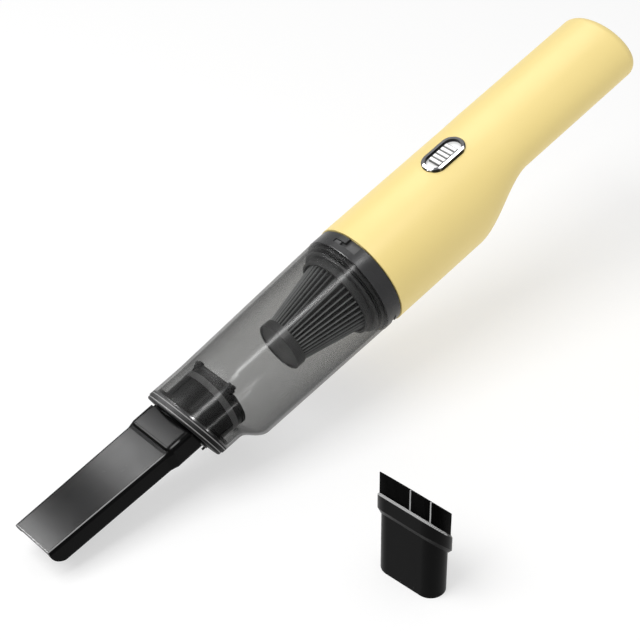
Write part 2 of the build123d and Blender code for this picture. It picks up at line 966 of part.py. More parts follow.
def star(x, peak, depth):
    """Closed zigzag outline of the pleats on a station of the axis."""
    corners = []
    for i in range(2 * pleat_count):
        radius = peak if i % 2 == 0 else peak - depth
        turn = math.pi * i / pleat_count
        corners.append((radius * math.cos(turn), radius * math.sin(turn)))
    return station(x) * make_face(Polyline(*corners, close=True))


def make_filter_media():
    """Pleated paper cone with a smooth core."""
    rear = filter_rim_x - filter_rim_bead - pleat_gap
    front = cap_face_x + cap_thickness + pleat_gap
    outer = loft(
        [
            star(front, pleat_front_radius, pleat_front_depth),
            star(rear, pleat_rear_radius, pleat_depth),
        ],
        ruled=True,
    )
    core_front = pleat_front_radius - pleat_front_depth - pleat_core_wall
    core_rear = pleat_rear_radius - pleat_depth - pleat_core_wall
    core = loft([station(front - past) * Circle(core_front), station(rear + past) * Circle(core_rear)])
    return outer - core


def make_filter_cap():
    """Closed end cap of the filter with a shallow dished face."""
    cup = rod(cap_face_x, cap_rear, cap_radius)
    cup = cup - rod(cap_face_x + cap_thickness, cap_rear + past, cap_radius - cap_wall)
    cup = chamfer(cup.edges().group_by(Axis.X)[0], cap_edge)
    return cup - rod(cap_face_x - past, cap_face_x + cap_dish, cap_radius - cap_border)


def make_filter_gasket():
    """Soft ring between the filter's flange and the chassis."""
    back = filter_rim_x + filter_rim_bead
    inner = chassis_bore - filter_fit
    return pipe(back, back + gasket_thickness, inner + gasket_width, inner + bond_gap)


def rounded_bar(x, width, height, z, corner):
    """Rounded rectangle on a station of the axis."""
    return station(x, z) * RectangleRounded(width, height, corner)


def make_crevice_nozzle():
    """Flat nozzle: round plug, necked square root block and long hollow blade."""
    plug = rod(lip_x - nose_run, lip_x + plug_length, plug_radius, nose_z)
    plug = plug - lip_slab(-slab_width, -plug_lip)
    root = extrude(
        rounded_bar(block_front, block_width, block_height, blade_z, block_corner),
        lip_x + plug_length / 2 - block_front,
    )
    root = fillet(root.edges().group_by(Axis.X)[0], block_round)
    root = root - lip_slab(-block_neck, slab_width)
    neck = extrude(
        rounded_bar(
            block_front + block_round,
            block_width - 2 * neck_inset,
            block_height - 2 * neck_inset,
            blade_z,
            block_corner - neck_inset,
        ),
        lip_x + plug_length / 2 - block_front - block_round,
    )
    neck = neck - lip_slab(-plug_fit, slab_width)
    blade = loft(
        [
            rounded_bar(blade_root, blade_root_width, blade_height, blade_z, blade_corner),
            rounded_bar(
                tip_top_x - mouth_overlap, blade_tip_width, blade_tip_height, blade_tip_z, blade_corner
            ),
        ]
    )
    blade = blade - tip_cutter()
    ramp = loft(
        [
            rounded_bar(
                block_front + block_round,
                blade_root_width + 2 * flare,
                blade_height + 2 * flare,
                blade_z,
                blade_corner + flare,
            ),
            rounded_bar(
                block_front - flare_length,
                blade_root_width - 2 * flare_sink,
                blade_height - 2 * flare_sink,
                blade_z,
                blade_corner - flare_sink,
            ),
        ]
    )
    return plug + root + neck + ramp + blade - nozzle_bore()


def tip_cutter():
    """Removes what lies ahead of the slanted, rounded mouth."""
    low = blade_tip_z - blade_tip_height / 2
    high = blade_tip_z + blade_tip_height / 2
    start = (tip_top_x, high - tip_land)
    end = (tip_bottom_x, low)
    middle = ((tip_top_x + tip_bottom_x) / 2 - tip_bulge, (start[1] + end[1]) / 2 - tip_bulge)
    ahead = tip_top_x - 2 * mouth_overlap
    edge = Line((tip_top_x, high + past), start) + ThreePointArc(start, middle, end)
    edge = edge + Polyline(end, (tip_bottom_x, low - past), (ahead, low - past), (ahead, high + past))
    edge = edge + Line((ahead, high + past), (tip_top_x, high + past))
    return extrude(Plane.XZ * make_face(edge), block_width, both=True)


def nozzle_bore():
    """Air path: flat in the blade, opening to a round bore in the plug."""
    flat_width = blade_root_width - 2 * blade_wall - 2 * bore_side
    flat_height = blade_height - 2 * blade_wall
    flat = loft(
        [
            rounded_bar(blade_root, flat_width, flat_height, blade_z, bore_corner),
            rounded_bar(
                tip_top_x - mouth_overlap - past,
                blade_tip_width - 2 * blade_wall,
                blade_tip_height - 2 * blade_wall,
                blade_tip_z,
                bore_corner,
            ),
        ]
    )
    throat = extrude(
        rounded_bar(blade_root, flat_width, flat_height, blade_z, bore_corner),
        lip_x + bore_reach - blade_root,
    )
    socket = rod(lip_x + bore_reach - past, lip_x + plug_length + past, plug_bore, nose_z)
    return flat + throat + socket


def slanted_prism(length, radius, low, high):
    """Upright prism trimmed by two planes parallel to the mouth, by height at its centre."""
    reach = 2 * radius
    rise = mouth_slope * reach
    corners = [
        (-reach, low + rise),
        (reach, low - rise),
        (reach, high - rise),
        (-reach, high + rise),
    ]
    wedge = extrude(Plane.YZ * make_face(Polyline(*corners, close=True)), length, both=True)
    return extrude(SlotOverall(length, 2 * radius), high + rise + past) & wedge


def stand(solid):
    """Turn the brush nozzle, drawn with its long side along X, and stand it on the floor."""
    collar_x = held_point(0, 0, 0)[0]
    return Pos(collar_x + brush_x, brush_y, floor_z) * Rot(0, 0, -90 + brush_turn) * solid


def make_brush_stem():
    """Oval stem with a slanted mouth and the wider band round it."""
    stem = slanted_prism(stem_length, stem_radius, 0, mouth_height)
    stem = stem + extrude(SlotOverall(stem_length, 2 * stem_radius), mouth_height / 2)
    band = slanted_prism(
        stem_length + 2 * band_proud,
        stem_radius + band_proud,
        mouth_height - brush_band_height,
        mouth_height,
    )
    lower, *walls, upper = sorted(band.faces(), key=lambda face: face.normal_at().Z)
    band = chamfer(lower.edges(), brush_band_chamfer - bond_gap)
    lower, *walls, upper = sorted(band.faces(), key=lambda face: face.normal_at().Z)
    band = chamfer(upper.edges(), rim_chamfer)
    bore = SlotOverall(stem_length - 2 * stem_wall, 2 * (stem_radius - stem_wall))
    bore = extrude(bore, 2 * mouth_height)
    body = stem + band - Pos(0, 0, -past) * bore
    return body - brush_groove(backing_fit)


def brush_groove(play):
    """Ring-shaped seat of the bristle backing in the rim."""
    outer = rim_middle + backing_width / 2 + play
    inner = rim_middle - backing_width / 2 - play
    low = mouth_height - backing_depth - play
    ring = slanted_prism(stem_straight + 2 * outer, outer, low, mouth_height + past)
    core = extrude(SlotOverall(stem_straight + 2 * inner, 2 * inner), 3 * mouth_height)
    return ring - core


def strand_line():
    """Points round the mouth, with the side that each belongs to."""
    half = stem_straight / 2
    rows = []
    for row in range(strand_rows):
        radius = rim_middle + strand_row_pitch * (row - (strand_rows - 1) / 2)
        side_count = int(2 * half / strand_pitch)
        end_count = int(math.pi * radius / strand_pitch)
        for i in range(side_count):
            x = -half + 2 * half * (i + 0.5) / side_count
            rows.append(("near", x, -radius))
            rows.append(("far", x, radius))
        for i in range(end_count):
            turn = math.pi * (i + 0.5) / end_count
            x = half + radius * math.sin(turn)
            y = radius * math.cos(turn)
            rows.append(("right", x, y))
            rows.append(("left", -x, y))
    return rows


def make_bristles(side):
    """Bristles of one side of the mouth, rooted in a slice of their backing."""
    top = mouth_height - backing_drop
    proud = slanted_prism(2 * stem_length, 2 * stem_radius, top, 2 * mouth_height)
    half = stem_straight / 2
    if side in ("near", "far"):
        sign = -1 if side == "near" else 1
        reach = sign * stem_length
        straight = half - backing_split
        zone = block(-straight, straight, min(0, reach), max(0, reach), 0, 2 * mouth_height)
    else:
        sign = -1 if side == "left" else 1
        ends = sorted((sign * half, sign * stem_length))
        zone = block(ends[0], ends[1], -stem_length, stem_length, 0, 2 * mouth_height)
    backing = (brush_groove(-backing_fit) - proud) & zone
    strands = []
    for name, x, y in strand_line():
        if name == side:
            root = mouth_height - mouth_slope * y - backing_depth / 2
            tuft = Plane(origin=(x, y, root)) * Rectangle(strand_size, strand_size)
            strands.append(extrude(tuft, strand_length + backing_depth / 2))
    return backing + strands


def tool_parts():
    """Every piece of the tool in its straight frame."""
    return {
        "housing": make_housing(),
        "front_chassis": make_chassis(),
        "fan_guard": make_fan_guard(),
        "fan_shroud": make_fan_shroud(),
        "impeller": make_impeller(),
        "motor_shaft": make_motor_shaft(),
        "motor_mount": make_motor_mount(),
        "motor_screws": make_motor_screws(),
        "motor_can": make_motor_can(),
        "motor_end_bell": make_motor_bell(),
        "switch_bezel": make_switch_bezel(),
        "switch_bed": make_switch_bed(),
        "switch_slider": make_switch_slider(),
        "slider_ribs": make_slider_ribs(),
        "slide_switch": make_slide_switch(),
        "control_board": make_control_board(),
        "board_screws": make_board_screws(),
        "battery_cell_left": make_cell(1),
        "battery_cell_right": make_cell(-1),
        "battery_cradle": make_battery_cradle(),
        "tail_plate": make_tail_plate(),
        "charge_socket": make_charge_socket(),
        "charge_board": make_charge_board(),
        "charge_lamp": make_charge_lamp(),
        "bin_collar": make_bin_collar(),
        "bin_shell": make_bin_shell(),
        "inlet_duct": make_inlet_duct(),
        "duct_band": make_duct_band(),
        "shoulder_tab": make_shoulder_tab(),
        "inlet_flap": make_inlet_flap(),
        "filter_flange": make_filter_flange(),
        "filter_media": make_filter_media(),
        "filter_cap": make_filter_cap(),
        "filter_gasket": make_filter_gasket(),
        "crevice_nozzle": make_crevice_nozzle(),
    }


def brush_parts():
    """Every piece of the loose brush nozzle, long side along X, mouth facing +Y."""
    parts = {"brush_stem": make_brush_stem()}
    for side in ("near", "far", "left", "right"):
        parts["bristles_" + side] = make_bristles(side)
    return parts


def main():
    for name, solid in tool_parts().items():
        export_step(place(solid), "parts/" + name + ".step")
    for name, solid in brush_parts().items():
        export_step(stand(solid), "parts/" + name + ".step")


main()
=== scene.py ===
import json
import math

import bpy
from mathutils import Matrix, Vector


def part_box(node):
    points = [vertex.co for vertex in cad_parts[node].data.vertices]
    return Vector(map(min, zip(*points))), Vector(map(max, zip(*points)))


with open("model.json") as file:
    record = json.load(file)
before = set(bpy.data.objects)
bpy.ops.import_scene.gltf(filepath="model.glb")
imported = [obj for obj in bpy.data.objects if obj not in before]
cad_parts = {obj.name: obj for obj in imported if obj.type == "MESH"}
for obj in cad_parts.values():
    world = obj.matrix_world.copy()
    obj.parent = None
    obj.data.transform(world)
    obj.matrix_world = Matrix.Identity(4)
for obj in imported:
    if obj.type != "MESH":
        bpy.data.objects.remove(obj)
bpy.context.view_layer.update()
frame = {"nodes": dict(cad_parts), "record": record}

nodes = frame["nodes"]

# The tool's own frame, in metres: X along its axis towards the handle, Z to the switch side.
# Its origin, at the front edge of the bin's collar, and its axis come from the fan's hinge.
joints = {joint["name"]: joint for joint in frame["record"]["behaviour"]["joints"]}
COLLAR = Vector(joints["fan_spin"]["pos_m"])
AXIS = Vector(joints["fan_spin"]["axis"]).normalized()
SWITCH_SIDE = AXIS.cross(Vector((0, 1, 0)))


def turned(x, y, z):
    """A direction of the tool's straight frame in the part's frame."""
    return AXIS * x + Vector((0, y, 0)) + SWITCH_SIDE * z


def held(x, y, z):
    """A point of the tool's straight frame in the part's frame."""
    return COLLAR + turned(x, y, z)


FLOOR = min(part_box(name)[0].z for name in nodes)


# Node helpers
def new_material(name):
    mat = bpy.data.materials.new(name)
    mat.use_nodes = True
    mat.node_tree.nodes.clear()
    return mat


def add(mat, kind, **values):
    node = mat.node_tree.nodes.new(kind)
    for key, value in values.items():
        setattr(node, key, value)
    return node


def join(mat, source, target):
    mat.node_tree.links.new(source, target)


def grain(mat, coords, scale, detail=2.0):
    """Noise in object space."""
    noise = add(mat, "ShaderNodeTexNoise")
    noise.inputs["Scale"].default_value = scale
    noise.inputs["Detail"].default_value = detail
    join(mat, coords, noise.inputs["Vector"])
    return noise.outputs["Fac"]


NOISE_LOW, NOISE_HIGH = 0.3, 0.7  # where nearly all of the noise's values lie


def spread(mat, value, low, high):
    """Map a noise value to a range."""
    node = add(mat, "ShaderNodeMapRange")
    node.inputs["From Min"].default_value = NOISE_LOW
    node.inputs["From Max"].default_value = NOISE_HIGH
    node.inputs["To Min"].default_value = low
    node.inputs["To Max"].default_value = high
    join(mat, value, node.inputs["Value"])
    return node.outputs["Result"]


def ease(mat, value, low, high, start=0.0, end=1.0):
    """Smooth step from start to end while the value goes from low to high."""
    node = add(mat, "ShaderNodeMapRange", interpolation_type="SMOOTHSTEP")
    for socket, number in (("From Min", low), ("From Max", high), ("To Min", start), ("To Max", end)):
        node.inputs[socket].default_value = number
    join(mat, value, node.inputs["Value"])
    return node.outputs["Result"]


def slope(mat, value, low, high, start, end):
    """Straight ramp from start to end while the value goes from low to high."""
    result = ease(mat, value, low, high, start, end)
    result.node.interpolation_type = "LINEAR"
    return result


def math_node(mat, operation, first, second=None):
    """Math node with its second value a number, a socket or none."""
    node = add(mat, "ShaderNodeMath", operation=operation)
    join(mat, first, node.inputs[0])
    if isinstance(second, float):
        node.inputs[1].default_value = second
    elif second is not None:
        join(mat, second, node.inputs[1])
    return node.outputs[0]


def window(mat, value, low, high, soft):
    """1 between two places, fading out over a soft distance on both sides."""
    rise = ease(mat, value, low - soft, low)
    fall = ease(mat, value, high, high + soft, 1.0, 0.0)
    return math_node(mat, "MULTIPLY", rise, fall)


def vector_node(mat, operation, first, second):
    """Vector math node with its second value a fixed vector or a socket."""
    node = add(mat, "ShaderNodeVectorMath", operation=operation)
    join(mat, first, node.inputs[0])
    if isinstance(second, Vector):
        node.inputs[1].default_value = second
    else:
        join(mat, second, node.inputs[1])
    return node.outputs["Value" if operation == "DOT_PRODUCT" else "Vector"]


def product(mat, *values):
    """Product of two or more values."""
    total = values[0]
    for value in values[1:]:
        total = math_node(mat, "MULTIPLY", total, value)
    return total


def scaled(mat, vector, factor):
    """A vector, fixed or from a socket, times a value."""
    node = add(mat, "ShaderNodeVectorMath", operation="SCALE")
    if isinstance(vector, Vector):
        node.inputs[0].default_value = vector
    else:
        join(mat, vector, node.inputs[0])
    join(mat, factor, node.inputs["Scale"])
    return node.outputs["Vector"]


def unit_vector(mat, vector):
    node = add(mat, "ShaderNodeVectorMath", operation="NORMALIZE")
    join(mat, vector, node.inputs[0])
    return node.outputs["Vector"]


def change_space(mat, vector, old, new):
    """A normal carried over from one space to another."""
    node = add(mat, "ShaderNodeVectorTransform", vector_type="NORMAL", convert_from=old, convert_to=new)
    join(mat, vector, node.inputs["Vector"])
    return node.outputs["Vector"]


def reach_along(mat, coords, direction, origin=COLLAR):
    """Distance of a surface point from an origin, along a direction."""
    return vector_node(mat, "DOT_PRODUCT", vector_node(mat, "SUBTRACT", coords, origin), direction)


def about_axis(mat, coords, centre):
    """Place along the tool's axis, and the arm square to it."""
    arm = vector_node(mat, "SUBTRACT", coords, centre)
    along = vector_node(mat, "DOT_PRODUCT", arm, AXIS)
    return along, vector_node(mat, "SUBTRACT", arm, scaled(mat, AXIS, along))


def round_normal(mat, coords, centre, back, front):
    """Exact normal of a wall turned about the tool's axis, between two places along it."""
    along, square = about_axis(mat, coords, centre)
    radial = unit_vector(mat, square)
    geometry = add(mat, "ShaderNodeNewGeometry")
    mesh_normal = change_space(mat, geometry.outputs["Normal"], "WORLD", "OBJECT")
    facet_normal = change_space(mat, geometry.outputs["True Normal"], "WORLD", "OBJECT")
    cosine = vector_node(mat, "DOT_PRODUCT", facet_normal, radial)
    facing = scaled(mat, radial, math_node(mat, "SIGN", cosine))
    alike = ease(mat, math_node(mat, "ABSOLUTE", cosine), 0.97, 0.985)
    blend = add(mat, "ShaderNodeMix", data_type="VECTOR")
    join(mat, product(mat, alike, window(mat, along, back, front, 0.0004)), blend.inputs["Factor"])
    join(mat, mesh_normal, blend.inputs["A"])
    join(mat, facing, blend.inputs["B"])
    return unit_vector(mat, change_space(mat, blend.outputs["Result"], "OBJECT", "WORLD"))


def blended(mat, factor, first, second):
    """Colour mixed from a first colour, fixed or from a socket, to a second, fixed one."""
    node = add(mat, "ShaderNodeMix", data_type="RGBA")
    join(mat, factor, node.inputs["Factor"])
    if isinstance(first, tuple):
        node.inputs["A"].default_value = (*first, 1)
    else:
        join(mat, first, node.inputs["A"])
    node.inputs["B"].default_value = (*second, 1)
    return node.outputs["Result"]


def surface(mat, shader, kind="ShaderNodeOutputMaterial"):
    """Material or world output with a shader on its surface."""
    join(mat, shader, add(mat, kind).inputs["Surface"])


BUMP_STRENGTH = 0.35


def moulded(name, dark, light, rough, grain_scale=1800.0, grain_depth=0.00002, tone_scale=18.0,
            metallic=0.0, specular=0.5, rough_play=0.04, mark=None, mark_tone=None,
            turned_wall=None, matt=None):
    """Moulded plastic or metal: two close tones, uneven gloss and a fine surface grain.

    mark gives the places of a second tone, matt those of a rougher finish, and turned_wall
    the stretch of a wall that is round about the tool's axis.
    """
    mat = new_material(name)
    coords = add(mat, "ShaderNodeTexCoord").outputs["Object"]
    shader = add(mat, "ShaderNodeBsdfPrincipled")
    shader.inputs["Metallic"].default_value = metallic
    shader.inputs["Specular IOR Level"].default_value = specular
    colour = blended(mat, spread(mat, grain(mat, coords, tone_scale, 4.0), 0, 1), dark, light)
    if mark is not None:
        colour = blended(mat, mark(mat, coords), colour, mark_tone)
    join(mat, colour, shader.inputs["Base Color"])
    gloss = spread(mat, grain(mat, coords, tone_scale * 6), rough - rough_play, rough + rough_play)
    if matt is not None:
        gloss = math_node(mat, "MAXIMUM", gloss, matt(mat, coords))
    join(mat, gloss, shader.inputs["Roughness"])
    bump = add(mat, "ShaderNodeBump")
    bump.inputs["Strength"].default_value = BUMP_STRENGTH
    bump.inputs["Distance"].default_value = grain_depth
    join(mat, grain(mat, coords, grain_scale), bump.inputs["Height"])
    if turned_wall is not None:
        join(mat, round_normal(mat, coords, *turned_wall), bump.inputs["Normal"])
    join(mat, bump.outputs["Normal"], shader.inputs["Normal"])
    surface(mat, shader.outputs["BSDF"])
    return mat


def clear_plastic(name, tint, body, facing_low, facing_high, rough, specular=0.5, turned_wall=None, rim=None):
    """Clear plastic: see-through face on, with its own tint, and denser towards the edge and at a rim."""
    mat = new_material(name)
    coords = add(mat, "ShaderNodeTexCoord").outputs["Object"]
    see = add(mat, "ShaderNodeBsdfTransparent")
    cloud = spread(mat, grain(mat, coords, 14.0), 0, 1)
    join(mat, blended(mat, cloud, (tint * 0.985, tint * 0.985, tint * 0.98), (tint, tint, tint * 0.995)),
         see.inputs["Color"])
    gloss = add(mat, "ShaderNodeBsdfPrincipled")
    gloss.inputs["Base Color"].default_value = (*body, 1)
    gloss.inputs["Specular IOR Level"].default_value = specular
    gloss.inputs["Coat Roughness"].default_value = rough
    join(mat, spread(mat, grain(mat, coords, 90.0), rough, rough * 1.15), gloss.inputs["Roughness"])
    weight = add(mat, "ShaderNodeLayerWeight")
    weight.inputs["Blend"].default_value = 0.5
    join(mat, ease(mat, weight.outputs["Facing"], 0.5, 0.85, 1.0, 0.0), gloss.inputs["Coat Weight"])
    if turned_wall is not None:
        normal = round_normal(mat, coords, *turned_wall)
        for socket in (weight.inputs["Normal"], gloss.inputs["Normal"], gloss.inputs["Coat Normal"]):
            join(mat, normal, socket)
    edge = math_node(mat, "POWER", weight.outputs["Facing"], 3.0)
    cover = slope(mat, edge, 0.0, 1.0, facing_low, facing_high)
    if rim is not None:
        cover = math_node(mat, "MAXIMUM", cover, rim(mat, coords))
    mix = add(mat, "ShaderNodeMixShader")
    join(mat, cover, mix.inputs["Fac"])
    join(mat, see.outputs["BSDF"], mix.inputs[1])
    join(mat, gloss.outputs["BSDF"], mix.inputs[2])
    surface(mat, mix.outputs["Shader"])
    return mat


# Places of marks, in metres: along and across the tool from the middle of the collar's front
# edge, or from the middle of the brush's foot on the floor
SIDEWAYS = Vector((0, 1, 0))
UPRIGHT = Vector((0, 0, 1))
SWITCH_PLACE = 0.086
BRUSH = Vector((-0.243781, -0.1366, FLOOR))
BRUSH_TURN = math.radians(-84.5)
BRUSH_LONG = Vector((math.cos(BRUSH_TURN), math.sin(BRUSH_TURN), 0))
BRUSH_FAR = Vector((-math.sin(BRUSH_TURN), math.cos(BRUSH_TURN), 0))
MOUTH_HEIGHT = 0.0449
MOUTH_SLOPE = 1.2
RIB_RATE = 9000.0
CONE_ENDS = (-0.0517, -0.0057)
CONE_RADII = (0.0132, 0.0232)
BLADE_ENDS = (-0.2325, -0.143)
BLADE_HALF_WIDTHS = (0.0149, 0.0162)
LIP_SLANT = math.radians(15)
LIP_PLACE = -0.124
NOSE_HEIGHT = 0.0042


def painted_bezel_reflection(mat, coords):
    """Painted reflection on the bezel's near side, and a painted glint at its front end."""
    across = reach_along(mat, coords, SIDEWAYS)
    along = reach_along(mat, coords, AXIS)
    side = window(mat, across, -0.0072, -0.0058, 0.0003)
    run = window(mat, along, SWITCH_PLACE - 0.0075, SWITCH_PLACE + 0.0085, 0.003)
    glint = window(mat, along, SWITCH_PLACE - 0.0136, SWITCH_PLACE - 0.0122, 0.0008)
    low = window(mat, across, -0.0030, 0.0025, 0.0015)
    return math_node(mat, "MAXIMUM", product(mat, side, run), product(mat, glint, low, 0.8))


def brush_place(mat, coords):
    """Places of a point of the brush: along its mouth, towards its far side, and above the floor."""
    return [reach_along(mat, coords, direction, BRUSH) for direction in (BRUSH_LONG, BRUSH_FAR, UPRIGHT)]


def near_row_light_lines(mat, coords):
    """Two thin light lines down the near row of bristles."""
    along, depth, height = brush_place(mat, coords)
    first = window(mat, along, 0.0037, 0.0043, 0.0001)
    second = window(mat, along, 0.0154, 0.0160, 0.0001)
    near = ease(mat, depth, -0.0066, -0.0062, 1.0, 0.0)
    return product(mat, math_node(mat, "MAXIMUM", first, second), near, ease(mat, height, 0.02, 0.021))


def painted_rim_highlight(mat, coords):
    """Painted highlight along the near rim of the brush's slanted mouth, broken into ribs where the bristle
    roots stand.
    """
    along, depth, height = brush_place(mat, coords)
    level = math_node(mat, "ADD", product(mat, depth, MOUTH_SLOPE), height)
    top = window(mat, level, MOUTH_HEIGHT - 0.002, MOUTH_HEIGHT + 0.002, 0.0003)
    ribs = ease(mat, math_node(mat, "SINE", product(mat, along, RIB_RATE)), -0.3, 0.5, 0.55, 1.0)
    return product(mat, top, ease(mat, depth, -0.0015, 0.0, 1.0, 0.0), ribs)


def painted_pleat_shade(mat, coords):
    """Painted shade in the valleys between the pleats, by the cone's radius at each place."""
    along, square = about_axis(mat, coords, COLLAR)
    radius = add(mat, "ShaderNodeVectorMath", operation="LENGTH")
    join(mat, square, radius.inputs[0])
    cone = slope(mat, along, *CONE_ENDS, *CONE_RADII)
    return ease(mat, math_node(mat, "SUBTRACT", cone, radius.outputs["Value"]), 0.0002, 0.0013)


def painted_edge_highlights(mat, coords):
    """Painted highlights: thin light lines along the near top edges of the blade and its block, and along the
    blade's mouth.
    """
    along = reach_along(mat, coords, AXIS)
    across = reach_along(mat, coords, -SIDEWAYS)
    height = reach_along(mat, coords, SWITCH_SIDE)
    inset = math_node(mat, "SUBTRACT", slope(mat, along, *BLADE_ENDS, *BLADE_HALF_WIDTHS), across)
    edge = product(
        mat, window(mat, inset, 0.0012, 0.0016, 0.0002), ease(mat, along, -0.148, -0.144, 1.0, 0.0))
    mouth = product(mat, window(mat, along, -0.2242, -0.2239, 0.0001), ease(mat, inset, 0.0010, 0.0014))
    blade = product(mat, ease(mat, height, 0.0120, 0.0124), math_node(mat, "MAXIMUM", edge, mouth))
    block = product(
        mat, window(mat, along, -0.1400, -0.1365, 0.0025), window(mat, across, 0.0152, 0.0153, 0.0005),
        ease(mat, height, 0.0100, 0.0108, 0.0, 0.6))
    return math_node(mat, "MAXIMUM", blade, block)


def lip_depth(mat, coords):
    """Depth of a point behind the bin's slanted front lip."""
    inwards = turned(math.cos(LIP_SLANT), 0, math.sin(LIP_SLANT))
    return reach_along(mat, coords, inwards, held(LIP_PLACE, 0, NOSE_HEIGHT))


def painted_lip_highlights(mat, coords):
    """Painted highlights: two thin light lines round the lip, along its front edge and beside the clear
    shell.
    """
    depth = lip_depth(mat, coords)
    front = window(mat, depth, 0.0013, 0.0016, 0.0002)
    rear = window(mat, depth, 0.0040, 0.0043, 0.0002)
    return math_node(mat, "MAXIMUM", front, rear)


def lip_matt(mat, coords):
    """Rougher lip in front of the duct's polished tube."""
    return ease(mat, lip_depth(mat, coords), 0.0056, 0.0062, 0.60, 0.0)


def shell_rim(mat, coords):
    """Dense front edge of the clear shell, behind the lip."""
    return ease(mat, lip_depth(mat, coords), 0.0058, 0.0066, 0.95, 0.0)


# Walls turned about the tool's axis: a point of their own axis, and their two ends
AXIS_WALL = (COLLAR, -0.0885, 0.080)
NOSE_WALL = (held(0, 0, NOSE_HEIGHT), -0.1125, -0.050)

# Materials by the slots of the record
MATERIALS = {
    "butter_shell": moulded(
        "butter_shell", (0.885, 0.705, 0.275), (0.900, 0.722, 0.292), 0.42, 2200.0, 0.000012, 10.0,
        specular=0.25),
    "graphite": moulded("graphite", (0.055, 0.055, 0.057), (0.068, 0.068, 0.070), 0.36, specular=0.3),
    "collar_gray": moulded(
        "collar_gray", (0.027, 0.027, 0.028), (0.034, 0.034, 0.035), 0.28, specular=0.18,
        turned_wall=AXIS_WALL),
    "smoke_clear": clear_plastic(
        "smoke_clear", 0.82, (0.002, 0.002, 0.0021), 0.13, 0.97, 0.18, 0.12, turned_wall=AXIS_WALL,
        rim=shell_rim),
    "black_gloss": moulded(
        "black_gloss", (0.008, 0.008, 0.0085), (0.014, 0.014, 0.0145), 0.22, grain_depth=0.000004),
    "black_satin": moulded(
        "black_satin", (0.005, 0.005, 0.0053), (0.008, 0.008, 0.0083), 0.25, grain_depth=0.000004,
        specular=0.08),
    "flap_rubber": moulded("flap_rubber", (0.003, 0.003, 0.003), (0.006, 0.006, 0.006), 0.6, specular=0.2),
    "filter_gray": moulded("filter_gray", (0.085, 0.085, 0.087), (0.105, 0.105, 0.107), 0.36),
    # pleat_fabric: a near-black tone paints shade into the valleys between the pleats
    "pleat_fabric": moulded(
        "pleat_fabric", (0.42, 0.43, 0.43), (0.52, 0.53, 0.53), 0.75, 2600.0, 0.00004, 60.0,
        mark=painted_pleat_shade, mark_tone=(0.02, 0.02, 0.02)),
    # chrome: a bright tone paints a reflection on the bezel's near side and a glint at its front end
    "chrome": moulded(
        "chrome", (0.020, 0.020, 0.021), (0.035, 0.035, 0.036), 0.12, metallic=1.0, rough_play=0.02,
        mark=painted_bezel_reflection, mark_tone=(0.92, 0.92, 0.93)),
    "white": moulded("white", (0.80, 0.80, 0.79), (0.86, 0.86, 0.85), 0.30),
    "fan_white": moulded("fan_white", (0.60, 0.60, 0.58), (0.66, 0.66, 0.64), 0.5),
    "steel": moulded("steel", (0.45, 0.45, 0.46), (0.56, 0.56, 0.57), 0.28, metallic=1.0),
    "board_green": moulded("board_green", (0.010, 0.075, 0.022), (0.016, 0.10, 0.032), 0.35),
    "cell_wrap": moulded("cell_wrap", (0.012, 0.055, 0.24), (0.018, 0.07, 0.29), 0.3),
    "lamp_clear": clear_plastic("lamp_clear", 0.9, (0.6, 0.6, 0.6), 0.3, 0.8, 0.08),
    "bristle": moulded(
        "bristle", (0.0006, 0.0006, 0.0006), (0.0010, 0.0010, 0.0010), 0.55, specular=0.02,
        mark=near_row_light_lines, mark_tone=(0.50, 0.50, 0.50)),
}

# Finishes of single pieces, in place of their slot's material
FINISHES = {
    # brush_stem: a light grey tone paints a ribbed highlight along the mouth's near rim
    "brush_stem": moulded(
        "black_satin_rim", (0.0015, 0.0015, 0.0016), (0.0025, 0.0025, 0.0026), 0.30, grain_depth=0.000004,
        specular=0.04, rough_play=0.02, mark=painted_rim_highlight, mark_tone=(0.50, 0.50, 0.50)),
    # crevice_nozzle: a light grey tone paints highlights along the blade's and block's edges
    "crevice_nozzle": moulded(
        "black_satin_lines", (0.0015, 0.0015, 0.0016), (0.0025, 0.0025, 0.0026), 0.26, grain_depth=0.000003,
        specular=0.035, rough_play=0.015, mark=painted_edge_highlights, mark_tone=(0.28, 0.28, 0.28)),
    # inlet_duct: a light grey tone paints two highlight lines round the lip
    "inlet_duct": moulded(
        "black_gloss_lines", (0.003, 0.003, 0.0032), (0.005, 0.005, 0.0052), 0.32, grain_depth=0.000002,
        specular=0.16, turned_wall=NOSE_WALL, mark=painted_lip_highlights, mark_tone=(0.22, 0.22, 0.22), matt=lip_matt),
    "duct_band": moulded("band_gray", (0.17, 0.17, 0.172), (0.21, 0.21, 0.212), 0.30, specular=0.3),
}

slot_of = {entry["node"]: entry["material_slot"] for entry in frame["record"]["subparts"]}
for name, obj in nodes.items():
    obj.data.materials.clear()
    obj.data.materials.append(FINISHES.get(name, MATERIALS[slot_of[name]]))

# Floor, white as the photograph's ground; it keeps the object's shadow
FLOOR_REACH = 6.0
floor_mesh = bpy.data.meshes.new("floor")
floor_mesh.from_pydata(
    [(x * FLOOR_REACH, y * FLOOR_REACH, FLOOR) for x, y in ((-1, -1), (1, -1), (1, 1), (-1, 1))],
    [], [(0, 1, 2, 3)])
floor = bpy.data.objects.new("floor", floor_mesh)
bpy.context.scene.collection.objects.link(floor)
floor_mat = new_material("floor")
matte = add(floor_mat, "ShaderNodeBsdfDiffuse")
matte.inputs["Color"].default_value = (0.50, 0.50, 0.50, 1)
lift = add(floor_mat, "ShaderNodeEmission")
lift.inputs["Strength"].default_value = 0.52
both = add(floor_mat, "ShaderNodeAddShader")
join(floor_mat, matte.outputs["BSDF"], both.inputs[0])
join(floor_mat, lift.outputs["Emission"], both.inputs[1])
surface(floor_mat, both.outputs["Shader"])
floor_mesh.materials.append(floor_mat)

